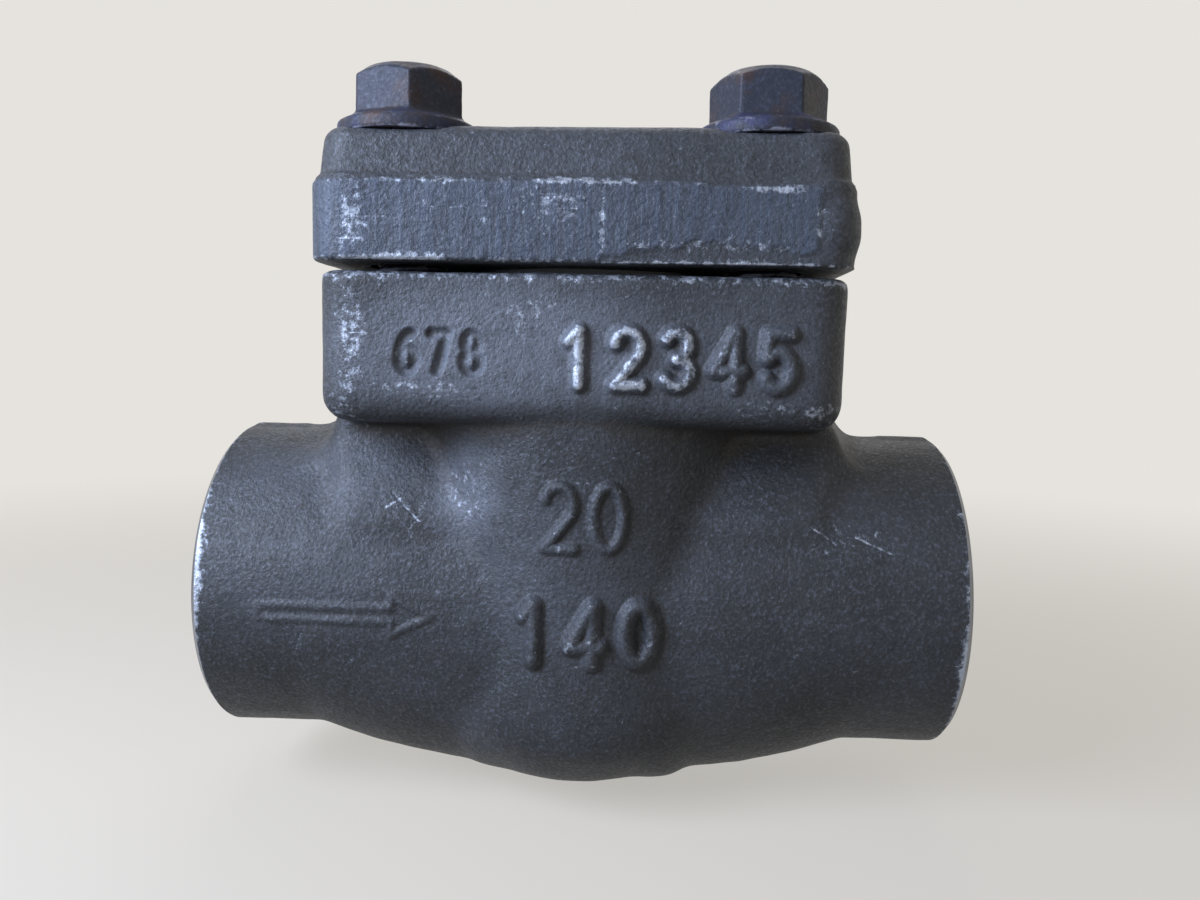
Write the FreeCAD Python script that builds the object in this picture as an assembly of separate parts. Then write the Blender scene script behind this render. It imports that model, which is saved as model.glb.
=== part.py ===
import FreeCAD, Part
import math
import os

# Forged steel swing check valve with socket weld ends and a bolted cover.
# All sizes are in millimetres. The origin is the centre of the inlet socket's
# mouth. +X is the way of the flow, +Z points up through the cover, and -Y is
# the front, where the arrow is forged.

V = FreeCAD.Vector
ALONG_X = V(1, 0, 0)
ALONG_Y = V(0, 1, 0)
ALONG_Z = V(0, 0, 1)

# Pipe ends
FACE_TO_FACE = 92.0
END_R = 20.0
RIM_CHAMFER = 0.6
SOCKET_R = 13.6
SOCKET_DEPTH = 13.5
SOCKET_CHAMFER = 0.3

# Belly, bowl and neck
BELLY_REACH = 34.0
BELLY_FLAT = 14.0
BELLY_FLAT_SHARE = 0.86
BELLY_DEPTH = 5.6
BELLY_BULGE = 0.4
SEAM_TURN = 45.0
CREASE_R = 3.0
NECK_R = 1.5
SADDLE_REACH = 27.0
SADDLE_WIDTH = 12.0
SADDLE_DROP = 7.0
BOWL_R = 22.2
BOWL_TOP_Z = -11.0
BOWL_DEPTH = 25.2
BOWL_ROUNDNESS = 0.72
NOSE_R = 8.0
NOSE_DEPTH = 26.5
NOSE_SLOPE = 2.6
RIDGE_WIDTH = 1.6
RIDGE_HEIGHT = 0.4

# Body flange under the cover
FLANGE_LENGTH = 59.8
FLANGE_WIDTH = 47.0
FLANGE_BOTTOM_Z = 20.6
FLANGE_TOP_Z = 39.2
FLANGE_CORNER_R = 4.5
FLANGE_LOWER_R = 3.0
FLANGE_UPPER_R = 0.6

# Flow way and chamber
SEAT_BORE_R = 7.5
OUTLET_BORE_R = 11.0
CHAMBER_R = 13.5
CHAMBER_SHIFT = 3.0
CHAMBER_FLOOR_Z = -15.0
CHAMBER_FLOOR_EDGE = 3.0
LEDGE_Z = 27.0
UPPER_CHAMBER_R = 16.5
GASKET_RECESS_R = 19.0
GASKET_RECESS_DEPTH = 2.0
GASKET_PLAY = 0.15
GASKET_WIDTH = 2.3

# Cover
JOINT_GAP = 0.9
COVER_OVERHANG = 0.6
COVER_EXTRA_WIDTH = 2.0
BAND_HEIGHT = 9.0
CAP_HEIGHT = 6.2
CAP_STEP = 0.35
CAP_DRAFT = 0.5
CAP_EDGE_R = 3.0
SPIGOT_HEIGHT = 1.5
SPIGOT_PLAY = 0.2

# Cover bolts, size M8 with a collar
BOLT_SPACING_X = 41.6
BOLT_SPACING_Y = 31.0
BOLT_R = 4.0
BOLT_LENGTH = 25.0
BOLT_HOLE_PLAY = 0.5
BOLT_TIP_CHAMFER = 0.8
BOLT_TIP_ROOM = 2.5
THREAD_PLAY = 0.05
COLLAR_R = 8.2
COLLAR_HEIGHT = 1.5
COLLAR_SLOPE = 0.7
HEX_FLATS = 11.8
HEAD_HEIGHT = 8.2
HEAD_CHAMFER = 1.1
SPOT_DEPTH = 0.7
SPOT_PLAY = 0.5
# Turn of each head: front left, front right, rear left, rear right
BOLT_TURNS = (43.0, -4.0, 17.0, 50.0)

# Seat ring, pressed into the body
SEAT_FACE_X = -10.2
SEAT_RING_R = 10.5
SEAT_RING_LENGTH = 7.0
SEAT_LAND_WIDTH = 1.4
SEAT_RELIEF = 0.4

# Disc with its stud, washer, nut and split pin
DISC_R = 9.4
DISC_THICKNESS = 3.0
DISC_FACE_RECESS = 0.4
DISC_BOSS_R = 4.2
DISC_BOSS_HEIGHT = 0.7
STUD_R = 2.5
STUD_TAIL = 1.9
STUD_TIP_CHAMFER = 0.4
WASHER_R = 4.2
WASHER_THICKNESS = 0.7
NUT_FLATS = 8.0
NUT_HEIGHT = 3.0
NUT_CHAMFER = 0.6
SPLIT_PIN_R = 0.5
SPLIT_PIN_PLAY = 0.1
SPLIT_PIN_EYE_R = 1.0
SPLIT_PIN_EYE_WIRE_R = 0.35
SPLIT_PIN_LEG_R = 0.4
SPLIT_PIN_REACH = 1.6
SPLIT_PIN_SPLAY = 0.25

# Swing arm and its hinge
HINGE_X = -4.0
HINGE_Z = 19.5
ARM_THICKNESS = 3.0
ARM_PLAY = 0.1
ARM_RING_R = 4.8
ARM_WEB_WIDTH = 6.0
ARM_BOSS_R = 3.6
ARM_BOSS_WIDTH = 8.0
PIN_R = 1.75
PIN_PLAY = 0.05
PIN_HEAD_R = 2.8
PIN_HEAD_HEIGHT = 1.0
PIN_TAIL = 1.6
PIN_GROOVE_DEPTH = 0.45
CLIP_R = 3.2
CLIP_THICKNESS = 0.6
CLIP_MOUTH = 2.4

# Hinge bracket on the ledge, with its two screws
LUG_GAP_PLAY = 0.15
LUG_THICKNESS = 3.2
LUG_R = 3.6
PLATE_THICKNESS = 3.4
PLATE_HALF_WIDTH = 11.5
PLATE_PLAY = 0.2
PLATE_EDGE_R = 0.6
SCREW_X = -10.8
SCREW_Y = 7.2
SCREW_R = 1.5
SCREW_LENGTH = 9.0
SCREW_HOLE_PLAY = 0.15
SCREW_TIP_ROOM = 1.0
SCREW_HEAD_R = 2.6
SCREW_HEAD_HEIGHT = 2.6
SCREW_KEY_FLATS = 2.5
SCREW_KEY_DEPTH = 1.4
SCREW_KEY_TURN = 15.0

# Worked out from the values above
MIDDLE_X = FACE_TO_FACE / 2
COVER_BOTTOM_Z = FLANGE_TOP_Z + JOINT_GAP
BAND_TOP_Z = COVER_BOTTOM_Z + BAND_HEIGHT
COVER_TOP_Z = BAND_TOP_Z + CAP_HEIGHT
COVER_LENGTH = FLANGE_LENGTH + 2 * COVER_OVERHANG
COVER_WIDTH = FLANGE_WIDTH + COVER_EXTRA_WIDTH
BOLT_SEAT_Z = COVER_TOP_Z - SPOT_DEPTH
BOLT_TIP_Z = BOLT_SEAT_Z - BOLT_LENGTH
SEAT_X = MIDDLE_X + SEAT_FACE_X
DISC_BACK_X = SEAT_X + DISC_THICKNESS
BOSS_BACK_X = DISC_BACK_X + DISC_BOSS_HEIGHT
ARM_FRONT_X = BOSS_BACK_X + ARM_PLAY
ARM_BACK_X = ARM_FRONT_X + ARM_THICKNESS
WASHER_X = ARM_BACK_X + ARM_PLAY
NUT_X = WASHER_X + WASHER_THICKNESS
NUT_BACK_X = NUT_X + NUT_HEIGHT
STUD_END_X = NUT_BACK_X + STUD_TAIL
SPLIT_PIN_X = NUT_BACK_X + SPLIT_PIN_R + SPLIT_PIN_PLAY
PIN_AXIS_X = MIDDLE_X + HINGE_X
LUG_INNER_Y = ARM_BOSS_WIDTH / 2 + LUG_GAP_PLAY
LUG_OUTER_Y = LUG_INNER_Y + LUG_THICKNESS
PLATE_TOP_Z = LEDGE_Z + PLATE_THICKNESS


def cylinder(radius, length, start, direction):
    return Part.makeCylinder(radius, length, start, direction)


def ring(outer_r, inner_r, length, start, direction):
    outer = cylinder(outer_r, length, start, direction)
    return outer.cut(cylinder(inner_r, length, start, direction))


def box(low, high):
    return Part.makeBox(high.x - low.x, high.y - low.y, high.z - low.z, low)


def revolve(points, start, direction):
    """Turn a closed outline of (radius, height) points about an axis."""
    side = ALONG_X if abs(direction.x) < 0.5 else ALONG_Z
    corners = [start + side * radius + direction * height for radius, height in points]
    face = Part.Face(Part.makePolygon(corners + corners[:1]))
    return face.revolve(start, direction, 360)


def hexagon_prism(flats, height, base, direction, turn):
    """A six sided bar with one corner turned by an angle about its axis."""
    corner_r = flats / math.sqrt(3)
    side = ALONG_X if abs(direction.x) < 0.5 else ALONG_Z
    across = direction.cross(side)
    corners = []
    for number in range(6):
        angle = math.radians(60 * number + turn)
        corners.append(base + (side * math.cos(angle) + across * math.sin(angle)) * corner_r)
    face = Part.Face(Part.makePolygon(corners + corners[:1]))
    return face.extrude(direction * height)


def chamfered_hexagon(flats, height, chamfer, base, direction, turn):
    """The bar with its far corners turned off, as a bolt head has them."""
    corner_r = flats / math.sqrt(3)
    top_r = corner_r - chamfer * math.sqrt(3)
    outline = [(0, 0), (corner_r, 0), (corner_r, height - chamfer), (top_r, height), (0, height)]
    envelope = revolve(outline, base, direction)
    return hexagon_prism(flats, height, base, direction, turn).common(envelope)


def round_rectangle(length, width, corner_r, z):
    """A closed outline in a level plane, centred over the middle of the valve."""
    half_x = length / 2 - corner_r
    half_y = width / 2 - corner_r
    edges = []
    corners = ((half_x, half_y, 0), (-half_x, half_y, 90), (-half_x, -half_y, 180), (half_x, -half_y, 270))
    for number, (x, y, angle) in enumerate(corners):
        centre = V(MIDDLE_X + x, y, z)
        circle = Part.Circle(centre, ALONG_Z, corner_r)
        arc = Part.Arc(circle, math.radians(angle), math.radians(angle + 90)).toShape()
        edges.append(arc)
        next_x, next_y, next_angle = corners[(number + 1) % 4]
        next_centre = V(MIDDLE_X + next_x, next_y, z)
        outwards = V(math.cos(math.radians(next_angle)), math.sin(math.radians(next_angle)), 0)
        edges.append(Part.makeLine(centre + outwards * corner_r, next_centre + outwards * corner_r))
    return Part.Wire(Part.__sortEdges__(edges))


def level_edges(shape, z):
    """The edges that lie flat at one height."""
    found = []
    for edge in shape.Edges:
        if edge.BoundBox.ZLength < 0.1 and abs(edge.CenterOfMass.z - z) < 0.01:
            found.append(edge)
    return found


def bolt_places():
    """Front left, front right, rear left, rear right."""
    places = []
    for y in (-BOLT_SPACING_Y / 2, BOLT_SPACING_Y / 2):
        for x in (-BOLT_SPACING_X / 2, BOLT_SPACING_X / 2):
            places.append(V(MIDDLE_X + x, y, 0))
    return places


def screw_places():
    return [V(MIDDLE_X + SCREW_X, y, 0) for y in (-SCREW_Y, SCREW_Y)]


def belly_section(x, half_width, lower):
    """One upright oval of the belly: its top stays level with the pipe's top."""
    centre_z = (END_R - lower) / 2
    half_height = (END_R + lower) / 2
    ring_edge = Part.Circle(V(0, 0, 0), ALONG_X, 1.0).toShape()
    ring_edge.rotate(V(0, 0, 0), ALONG_X, SEAM_TURN)
    stretch = FreeCAD.Matrix()
    stretch.A22 = half_width
    stretch.A33 = half_height
    stretch.A14 = x
    stretch.A34 = centre_z
    return Part.Wire([ring_edge.transformGeometry(stretch)])


def belly():
    """The swelling under the pipe, a straight slope on each side of a flat middle."""
    sections = []
    for reach, share in ((-BELLY_REACH, 0.0), (-BELLY_FLAT, BELLY_FLAT_SHARE), (0.0, 1.0),
                         (BELLY_FLAT, BELLY_FLAT_SHARE), (BELLY_REACH, 0.0)):
        half_width = END_R + BELLY_BULGE * share
        lower = END_R + BELLY_DEPTH * share
        sections.append(belly_section(MIDDLE_X + reach, half_width, lower))
    return Part.makeLoft(sections, True, False)


def bowl_and_neck():
    """The upright round form that holds the chamber, with the nose below."""
    top = V(BOWL_R, 0, (FLANGE_BOTTOM_Z + FLANGE_TOP_Z) / 2)
    side = V(BOWL_R, 0, BOWL_TOP_Z)
    dome_x = NOSE_R + (BOWL_R - NOSE_R) * BOWL_ROUNDNESS
    dome_z = BOWL_TOP_Z - (BOWL_DEPTH + BOWL_TOP_Z) * BOWL_ROUNDNESS
    foot = V(NOSE_R, 0, -BOWL_DEPTH)
    nose = V(NOSE_R - NOSE_SLOPE, 0, -NOSE_DEPTH)
    bottom = V(0, 0, -NOSE_DEPTH)
    centre_top = V(0, 0, top.z)
    edges = [Part.makeLine(top, side), Part.Arc(side, V(dome_x, 0, dome_z), foot).toShape(),
             Part.makeLine(foot, nose), Part.makeLine(nose, bottom), Part.makeLine(bottom, centre_top),
             Part.makeLine(centre_top, top)]
    solid = Part.Face(Part.Wire(edges)).revolve(V(0, 0, 0), ALONG_Z, 360)
    solid.translate(V(MIDDLE_X, 0, 0))
    return solid


def flange_block():
    outline = round_rectangle(FLANGE_LENGTH, FLANGE_WIDTH, FLANGE_CORNER_R, FLANGE_BOTTOM_Z)
    block = Part.Face(outline).extrude(V(0, 0, FLANGE_TOP_Z - FLANGE_BOTTOM_Z))
    block = block.makeFillet(FLANGE_LOWER_R, level_edges(block, FLANGE_BOTTOM_Z))
    return block.makeFillet(FLANGE_UPPER_R, level_edges(block, FLANGE_TOP_Z))


def neck_edges(shape):
    """The round edge where the neck meets the underside of the flange."""
    found = []
    for edge in level_edges(shape, FLANGE_BOTTOM_Z):
        reach = edge.BoundBox.XLength + edge.BoundBox.YLength
        if edge.Curve.TypeId == "Part::GeomCircle" and abs(edge.Curve.Radius - BOWL_R) < 0.01 and reach > 1:
            found.append(edge)
    return found


def flange_on_neck():
    """The flange with the top of the round neck, blended into its underside."""
    neck_z = FLANGE_BOTTOM_Z - 2 * NECK_R
    neck_height = FLANGE_BOTTOM_Z + FLANGE_LOWER_R - neck_z
    neck = cylinder(BOWL_R, neck_height, V(MIDDLE_X, 0, neck_z), ALONG_Z)
    top = flange_block().fuse(neck)
    return top.makeFillet(NECK_R, neck_edges(top))


def parting_ridge():
    """The trimmed line where the two forging dies met, round the pipe and belly."""
    low_end = -END_R - RIDGE_HEIGHT
    low_flat = low_end - BELLY_DEPTH
    low_nose = -NOSE_DEPTH - RIDGE_HEIGHT
    nose_half = NOSE_R - NOSE_SLOPE
    outline = [(0, low_end), (MIDDLE_X - BELLY_REACH, low_end), (MIDDLE_X - BELLY_FLAT, low_flat),
               (MIDDLE_X - nose_half, low_nose), (MIDDLE_X + nose_half, low_nose),
               (MIDDLE_X + BELLY_FLAT, low_flat), (MIDDLE_X + BELLY_REACH, low_end),
               (FACE_TO_FACE, low_end), (FACE_TO_FACE, END_R + RIDGE_HEIGHT), (0, END_R + RIDGE_HEIGHT)]
    corners = [V(x, -RIDGE_WIDTH / 2, z) for x, z in outline]
    face = Part.Face(Part.makePolygon(corners + corners[:1]))
    return face.extrude(V(0, RIDGE_WIDTH, 0))


def saddle():
    """The metal between the top of the pipe and the underside of the flange."""
    return box(V(MIDDLE_X - SADDLE_REACH, -SADDLE_WIDTH / 2, FLANGE_BOTTOM_Z - SADDLE_DROP),
               V(MIDDLE_X + SADDLE_REACH, SADDLE_WIDTH / 2, FLANGE_BOTTOM_Z + FLANGE_LOWER_R))


def edges_between(shape, first_kinds, second_kinds, reach):
    """Edges near the middle of the valve where two kinds of surface meet."""
    found = []
    for edge in shape.Edges:
        kinds = [face.Surface.TypeId for face in shape.ancestorsOfType(edge, Part.Face)]
        if len(kinds) != 2 or abs(edge.CenterOfMass.x - MIDDLE_X) > reach:
            continue
        if kinds[0] in first_kinds and kinds[1] in second_kinds:
            found.append(edge)
        elif kinds[1] in first_kinds and kinds[0] in second_kinds:
            found.append(edge)
    return found


def body_outside():
    end_length = MIDDLE_X - BELLY_REACH
    inlet_end = cylinder(END_R, end_length, V(0, 0, 0), ALONG_X)
    outlet_end = cylinder(END_R, end_length, V(FACE_TO_FACE - end_length, 0, 0), ALONG_X)
    outside = belly().multiFuse([inlet_end, outlet_end]).removeSplitter().fuse(bowl_and_neck())
    free_form = ("Part::GeomBSplineSurface",)
    turned_forms = ("Part::GeomCylinder", "Part::GeomSurfaceOfRevolution")
    creases = edges_between(outside, free_form, turned_forms, BOWL_R)
    outside = outside.makeFillet(CREASE_R, creases)
    outside = outside.multiFuse([flange_on_neck(), saddle(), parting_ridge()])
    reach = END_R + RIDGE_HEIGHT
    rim = [(0, 0), (reach - RIM_CHAMFER, 0), (reach, RIM_CHAMFER),
           (reach, FACE_TO_FACE - RIM_CHAMFER), (reach - RIM_CHAMFER, FACE_TO_FACE), (0, FACE_TO_FACE)]
    turned = revolve(rim, V(0, 0, 0), ALONG_X)
    middle = box(V(RIM_CHAMFER, -FACE_TO_FACE, -FACE_TO_FACE),
                 V(FACE_TO_FACE - RIM_CHAMFER, FACE_TO_FACE, FACE_TO_FACE))
    return outside.common(turned.fuse(middle))


def socket_cut(mouth, inwards):
    wide = SOCKET_R + SOCKET_CHAMFER
    outline = [(0, 0), (wide, 0), (SOCKET_R, SOCKET_CHAMFER), (SOCKET_R, SOCKET_DEPTH), (0, SOCKET_DEPTH)]
    return revolve(outline, mouth, inwards)


def chamber_cut():
    """Lower chamber, set towards the outlet so that a ledge is left for the bracket."""
    floor_r = CHAMBER_R - CHAMBER_FLOOR_EDGE
    outline = [(0, CHAMBER_FLOOR_Z), (floor_r, CHAMBER_FLOOR_Z),
               (CHAMBER_R, CHAMBER_FLOOR_Z + CHAMBER_FLOOR_EDGE), (CHAMBER_R, FLANGE_TOP_Z), (0, FLANGE_TOP_Z)]
    return revolve(outline, V(MIDDLE_X + CHAMBER_SHIFT, 0, 0), ALONG_Z)


def make_body():
    far_end = V(FACE_TO_FACE, 0, 0)
    middle = V(MIDDLE_X, 0, 0)
    recess_z = FLANGE_TOP_Z - GASKET_RECESS_DEPTH
    ring_x = SEAT_X - SEAT_RING_LENGTH
    pocket_x = MIDDLE_X + CHAMBER_SHIFT - CHAMBER_R
    cuts = [socket_cut(V(0, 0, 0), ALONG_X),
            socket_cut(far_end, ALONG_X * -1),
            cylinder(SEAT_BORE_R, MIDDLE_X, V(0, 0, 0), ALONG_X),
            cylinder(SEAT_RING_R, MIDDLE_X - ring_x, V(ring_x, 0, 0), ALONG_X),
            cylinder(OUTLET_BORE_R, FACE_TO_FACE - pocket_x, V(pocket_x, 0, 0), ALONG_X),
            chamber_cut(),
            cylinder(UPPER_CHAMBER_R, FLANGE_TOP_Z - LEDGE_Z, middle + ALONG_Z * LEDGE_Z, ALONG_Z),
            cylinder(GASKET_RECESS_R, GASKET_RECESS_DEPTH, middle + ALONG_Z * recess_z, ALONG_Z)]
    hole_bottom = BOLT_TIP_Z - BOLT_TIP_ROOM
    for place in bolt_places():
        start = place + ALONG_Z * hole_bottom
        cuts.append(cylinder(BOLT_R + THREAD_PLAY, FLANGE_TOP_Z - hole_bottom, start, ALONG_Z))
    screw_bottom = PLATE_TOP_Z - SCREW_LENGTH - SCREW_TIP_ROOM
    for place in screw_places():
        start = place + ALONG_Z * screw_bottom
        cuts.append(cylinder(SCREW_R + THREAD_PLAY, LEDGE_Z - screw_bottom, start, ALONG_Z))
    return body_outside().cut(cuts).removeSplitter()


def make_seat_ring():
    """Its raised land meets the disc. Outside the land the face stands back a little."""
    start_x = SEAT_X - SEAT_RING_LENGTH
    land_r = SEAT_BORE_R + SEAT_LAND_WIDTH
    length = SEAT_RING_LENGTH
    outline = [(SEAT_BORE_R, 0), (SEAT_RING_R, 0), (SEAT_RING_R, length - SEAT_RELIEF),
               (land_r, length - SEAT_RELIEF), (land_r, length), (SEAT_BORE_R, length)]
    return revolve(outline, V(start_x, 0, 0), ALONG_X)


def make_hinge_bracket():
    plate_r = UPPER_CHAMBER_R - PLATE_PLAY
    plate = cylinder(plate_r, PLATE_THICKNESS, V(MIDDLE_X, 0, LEDGE_Z), ALONG_Z)
    trim = box(V(MIDDLE_X - plate_r, -PLATE_HALF_WIDTH, LEDGE_Z),
               V(PIN_AXIS_X + LUG_R, PLATE_HALF_WIDTH, PLATE_TOP_Z))
    plate = plate.common(trim)
    plate = plate.makeFillet(PLATE_EDGE_R, level_edges(plate, PLATE_TOP_Z))
    lugs = []
    for start_y in (-LUG_OUTER_Y, LUG_INNER_Y):
        eye = cylinder(LUG_R, LUG_THICKNESS, V(PIN_AXIS_X, start_y, HINGE_Z), ALONG_Y)
        stem = box(V(PIN_AXIS_X - LUG_R, start_y, HINGE_Z),
                   V(PIN_AXIS_X + LUG_R, start_y + LUG_THICKNESS, LEDGE_Z + PLATE_THICKNESS / 2))
        lugs += [eye, stem]
    bracket = plate.multiFuse(lugs)
    pin_hole = cylinder(PIN_R + PIN_PLAY, 2 * LUG_OUTER_Y, V(PIN_AXIS_X, -LUG_OUTER_Y, HINGE_Z), ALONG_Y)
    cuts = [pin_hole]
    for place in screw_places():
        cuts.append(cylinder(SCREW_R + SCREW_HOLE_PLAY, PLATE_THICKNESS, place + ALONG_Z * LEDGE_Z, ALONG_Z))
    return bracket.cut(cuts).removeSplitter()


def make_bracket_screw(place):
    head_base = place + ALONG_Z * PLATE_TOP_Z
    head = cylinder(SCREW_HEAD_R, SCREW_HEAD_HEIGHT, head_base, ALONG_Z)
    shank = cylinder(SCREW_R, SCREW_LENGTH, head_base - ALONG_Z * SCREW_LENGTH, ALONG_Z)
    key_base = head_base + ALONG_Z * (SCREW_HEAD_HEIGHT - SCREW_KEY_DEPTH)
    key = hexagon_prism(SCREW_KEY_FLATS, SCREW_KEY_DEPTH, key_base, ALONG_Z, SCREW_KEY_TURN)
    return head.fuse(shank).cut(key)


def make_hinge_pin():
    """A headed pin with a groove near its tail for the clip."""
    head_y = -LUG_OUTER_Y - PIN_HEAD_HEIGHT
    tail = LUG_OUTER_Y + PIN_TAIL
    head = cylinder(PIN_HEAD_R, PIN_HEAD_HEIGHT, V(PIN_AXIS_X, head_y, HINGE_Z), ALONG_Y)
    shank = cylinder(PIN_R, tail + LUG_OUTER_Y, V(PIN_AXIS_X, -LUG_OUTER_Y, HINGE_Z), ALONG_Y)
    groove_y = LUG_OUTER_Y + PIN_PLAY
    groove = ring(PIN_R, PIN_R - PIN_GROOVE_DEPTH, CLIP_THICKNESS, V(PIN_AXIS_X, groove_y, HINGE_Z), ALONG_Y)
    return head.fuse(shank).cut(groove)


def make_pin_clip():
    """A flat clip, open on one side, that snaps into the pin's groove."""
    start = V(PIN_AXIS_X, LUG_OUTER_Y + PIN_PLAY, HINGE_Z)
    clip = ring(CLIP_R, PIN_R - PIN_GROOVE_DEPTH, CLIP_THICKNESS, start, ALONG_Y)
    mouth = box(start + V(-CLIP_MOUTH / 2, 0, 0), start + V(CLIP_MOUTH / 2, CLIP_THICKNESS, CLIP_R))
    return clip.cut(mouth)


def make_swing_arm():
    """A ring for the disc's stud, a flat web and a wide boss on the pin."""
    eye = cylinder(ARM_RING_R, ARM_THICKNESS, V(ARM_FRONT_X, 0, 0), ALONG_X)
    web = box(V(ARM_FRONT_X, -ARM_WEB_WIDTH / 2, 0), V(ARM_BACK_X, ARM_WEB_WIDTH / 2, HINGE_Z))
    boss = cylinder(ARM_BOSS_R, ARM_BOSS_WIDTH, V(PIN_AXIS_X, -ARM_BOSS_WIDTH / 2, HINGE_Z), ALONG_Y)
    arm = eye.multiFuse([web, boss])
    stud_hole = cylinder(STUD_R + ARM_PLAY, ARM_THICKNESS, V(ARM_FRONT_X, 0, 0), ALONG_X)
    pin_hole = cylinder(PIN_R + ARM_PLAY, ARM_BOSS_WIDTH, V(PIN_AXIS_X, -ARM_BOSS_WIDTH / 2, HINGE_Z), ALONG_Y)
    return arm.cut([stud_hole, pin_hole]).removeSplitter()


def make_valve_disc():
    """Disc, boss and stud turned from one bar, with the hole for the split pin."""
    land_r = SEAT_BORE_R
    outline = [(0, DISC_FACE_RECESS), (land_r - DISC_FACE_RECESS, DISC_FACE_RECESS), (land_r, 0), (DISC_R, 0),
               (DISC_R, DISC_THICKNESS), (DISC_BOSS_R, DISC_THICKNESS),
               (DISC_BOSS_R, BOSS_BACK_X - SEAT_X), (STUD_R, BOSS_BACK_X - SEAT_X),
               (STUD_R, STUD_END_X - SEAT_X - STUD_TIP_CHAMFER),
               (STUD_R - STUD_TIP_CHAMFER, STUD_END_X - SEAT_X), (0, STUD_END_X - SEAT_X)]
    disc = revolve(outline, V(SEAT_X, 0, 0), ALONG_X)
    hole = cylinder(SPLIT_PIN_R + SPLIT_PIN_PLAY, 2 * STUD_R, V(SPLIT_PIN_X, -STUD_R, 0), ALONG_Y)
    return disc.cut(hole)


def make_disc_washer():
    return ring(WASHER_R, STUD_R + THREAD_PLAY, WASHER_THICKNESS, V(WASHER_X, 0, 0), ALONG_X)


def make_disc_nut():
    nut = chamfered_hexagon(NUT_FLATS, NUT_HEIGHT, NUT_CHAMFER, V(NUT_X, 0, 0), ALONG_X, 0)
    return nut.cut(cylinder(STUD_R + THREAD_PLAY, NUT_HEIGHT, V(NUT_X, 0, 0), ALONG_X))


def make_split_pin():
    """A doubled wire: an eye on one side of the stud, two bent legs on the other."""
    reach_y = STUD_R + SPLIT_PIN_R
    stem = cylinder(SPLIT_PIN_R, 2 * reach_y, V(SPLIT_PIN_X, -reach_y, 0), ALONG_Y)
    eye_centre = V(SPLIT_PIN_X, -reach_y - SPLIT_PIN_EYE_R, 0)
    eye = Part.makeTorus(SPLIT_PIN_EYE_R, SPLIT_PIN_EYE_WIRE_R, eye_centre, ALONG_X)
    legs = []
    for way in (-1, 1):
        start = V(SPLIT_PIN_X, reach_y, 0)
        legs.append(cylinder(SPLIT_PIN_LEG_R, SPLIT_PIN_REACH, start, V(0, SPLIT_PIN_SPLAY, way)))
    return stem.multiFuse([eye] + legs).removeSplitter()


def make_cover_gasket():
    outer_r = GASKET_RECESS_R - GASKET_PLAY
    start = V(MIDDLE_X, 0, FLANGE_TOP_Z - GASKET_RECESS_DEPTH)
    return ring(outer_r, outer_r - GASKET_WIDTH, GASKET_RECESS_DEPTH + JOINT_GAP, start, ALONG_Z)


def make_cover():
    """A straight band where the flash was sheared off, and a drafted cap above it."""
    band = Part.Face(round_rectangle(COVER_LENGTH, COVER_WIDTH, FLANGE_CORNER_R, COVER_BOTTOM_Z))
    band = band.extrude(V(0, 0, BAND_HEIGHT))
    low_inset = 2 * CAP_STEP
    high_inset = low_inset + 2 * CAP_DRAFT
    low = round_rectangle(COVER_LENGTH - low_inset, COVER_WIDTH - low_inset, FLANGE_CORNER_R, BAND_TOP_Z)
    high = round_rectangle(COVER_LENGTH - high_inset, COVER_WIDTH - high_inset, FLANGE_CORNER_R, COVER_TOP_Z)
    cap = Part.makeLoft([low, high], True, True)
    cap = cap.makeFillet(CAP_EDGE_R, level_edges(cap, COVER_TOP_Z))
    spigot_r = GASKET_RECESS_R - GASKET_PLAY - GASKET_WIDTH - SPIGOT_PLAY
    spigot = cylinder(spigot_r, SPIGOT_HEIGHT, V(MIDDLE_X, 0, COVER_BOTTOM_Z - SPIGOT_HEIGHT), ALONG_Z)
    cover = band.multiFuse([cap, spigot])
    cuts = []
    for place in bolt_places():
        start = place + ALONG_Z * COVER_BOTTOM_Z
        cuts.append(cylinder(BOLT_R + BOLT_HOLE_PLAY, COVER_TOP_Z - COVER_BOTTOM_Z, start, ALONG_Z))
        cuts.append(cylinder(COLLAR_R + SPOT_PLAY, SPOT_DEPTH, place + ALONG_Z * BOLT_SEAT_Z, ALONG_Z))
    return cover.cut(cuts).removeSplitter()


def make_cover_bolt(place, turn):
    """Hexagon head with a round collar, and a plain shank for the thread."""
    seat = place + ALONG_Z * BOLT_SEAT_Z
    collar_top = COLLAR_HEIGHT + COLLAR_SLOPE
    hex_corner_r = HEX_FLATS / math.sqrt(3)
    collar = revolve([(0, 0), (COLLAR_R, 0), (COLLAR_R, COLLAR_HEIGHT), (hex_corner_r, collar_top),
                      (0, collar_top)], seat, ALONG_Z)
    head = chamfered_hexagon(HEX_FLATS, HEAD_HEIGHT, HEAD_CHAMFER, seat, ALONG_Z, turn)
    shank = revolve([(0, 0), (BOLT_R - BOLT_TIP_CHAMFER, 0), (BOLT_R, BOLT_TIP_CHAMFER),
                     (BOLT_R, BOLT_LENGTH), (0, BOLT_LENGTH)], place + ALONG_Z * BOLT_TIP_Z, ALONG_Z)
    return collar.multiFuse([head, shank]).removeSplitter()


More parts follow.
